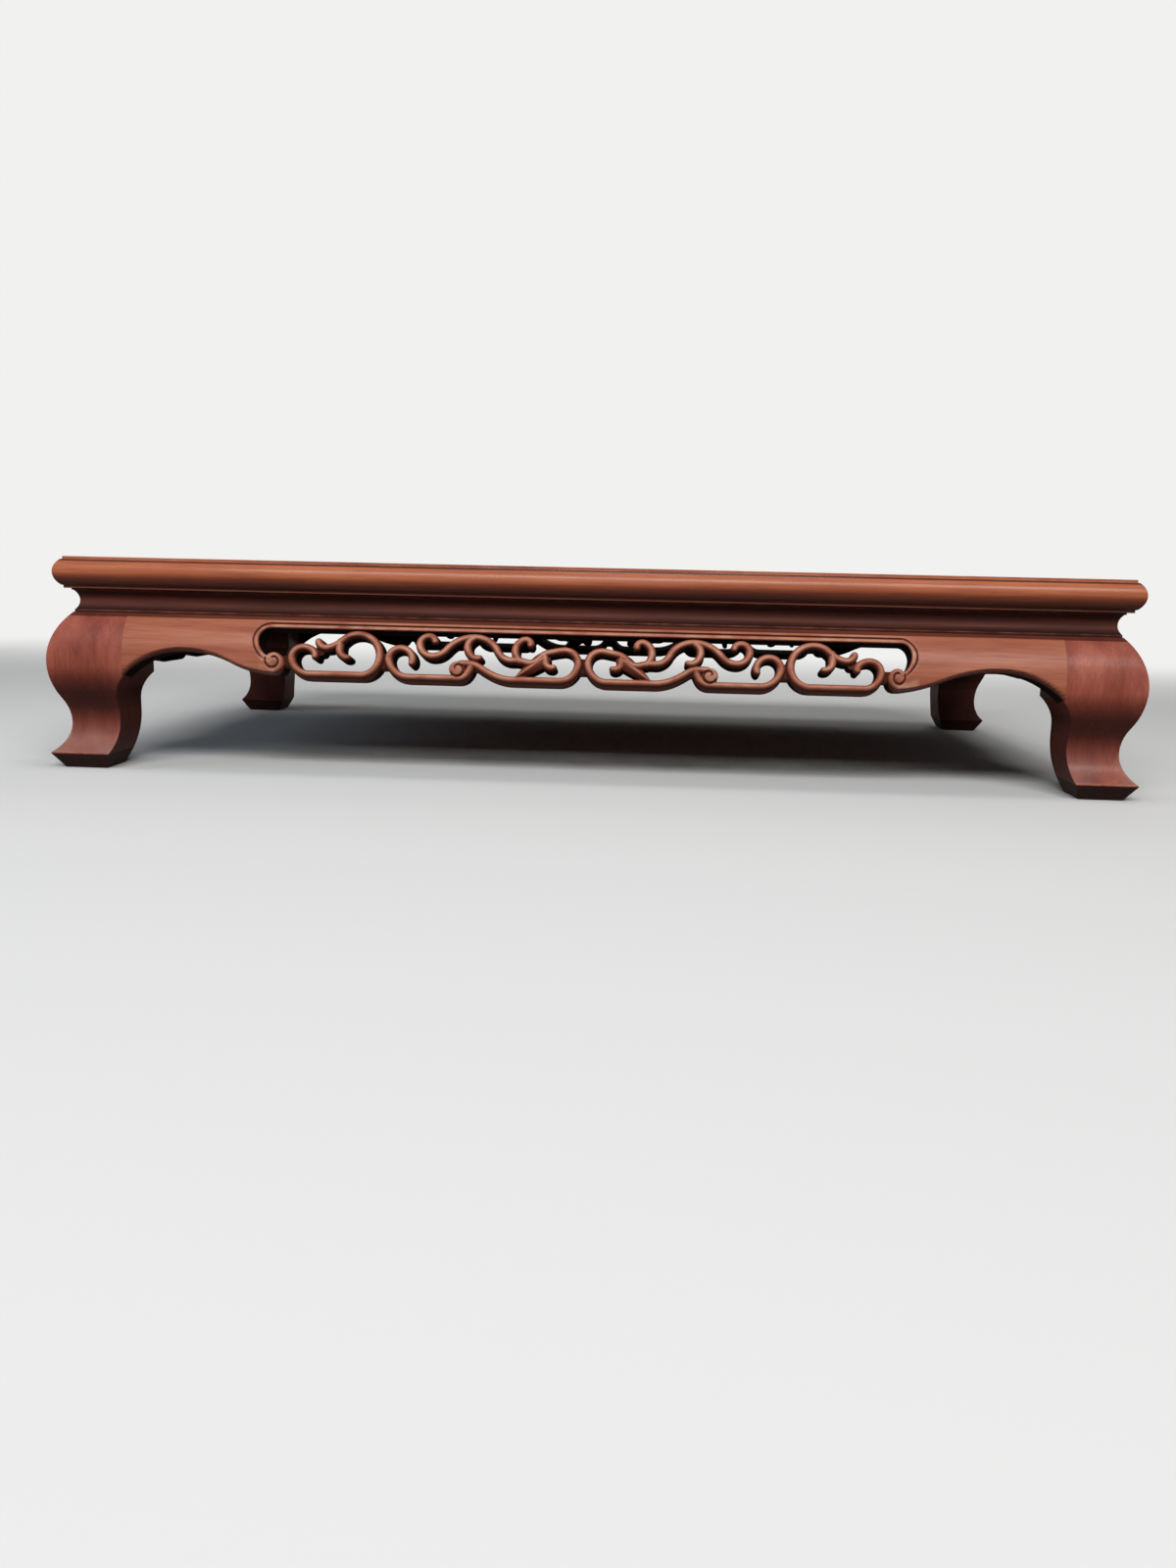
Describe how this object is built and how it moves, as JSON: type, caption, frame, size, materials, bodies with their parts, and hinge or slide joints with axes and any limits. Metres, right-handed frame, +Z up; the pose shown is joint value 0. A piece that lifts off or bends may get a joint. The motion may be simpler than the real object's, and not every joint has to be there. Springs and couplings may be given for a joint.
{
  "type": "display table",
  "caption": "Low display stand with a framed flat top, coved waist, bulging aprons pierced with flowing scrolls, and square S-curved legs with turned-out feet.",
  "frame": {"origin": "centre of the footprint, on the surface that the feet stand on", "axes": "+X along the length, +Y from the front to the back, +Z up"},
  "size_m": [0.96, 0.55, 0.189],
  "materials": {
    "frame_wood": "satin clear lacquer over reddish brown rosewood",
    "panel_wood": "satin clear lacquer over reddish brown rosewood",
    "waist_wood": "darker brown rosewood with a soft satin lacquer",
    "apron_wood": "satin orange-brown rosewood, darker in the cuts",
    "leg_wood": "satin deep red-brown rosewood",
    "inner_wood": "plain dull stained hardwood"
  },
  "bodies": {
    "root": {"top_frame_front": "frame_wood", "top_frame_back": "frame_wood", "top_frame_left": "frame_wood", "top_frame_right": "frame_wood", "top_panel": "panel_wood", "batten_left": "inner_wood", "batten_center": "inner_wood", "batten_right": "inner_wood", "waist_front": "waist_wood", "waist_back": "waist_wood", "waist_left": "waist_wood", "waist_right": "waist_wood", "waist_pins": "inner_wood", "apron_front": "apron_wood", "apron_back": "apron_wood", "apron_left": "apron_wood", "apron_right": "apron_wood", "leg_front_left": "leg_wood", "leg_front_right": "leg_wood", "leg_back_left": "leg_wood", "leg_back_right": "leg_wood"}
  },
  "joints": []
}
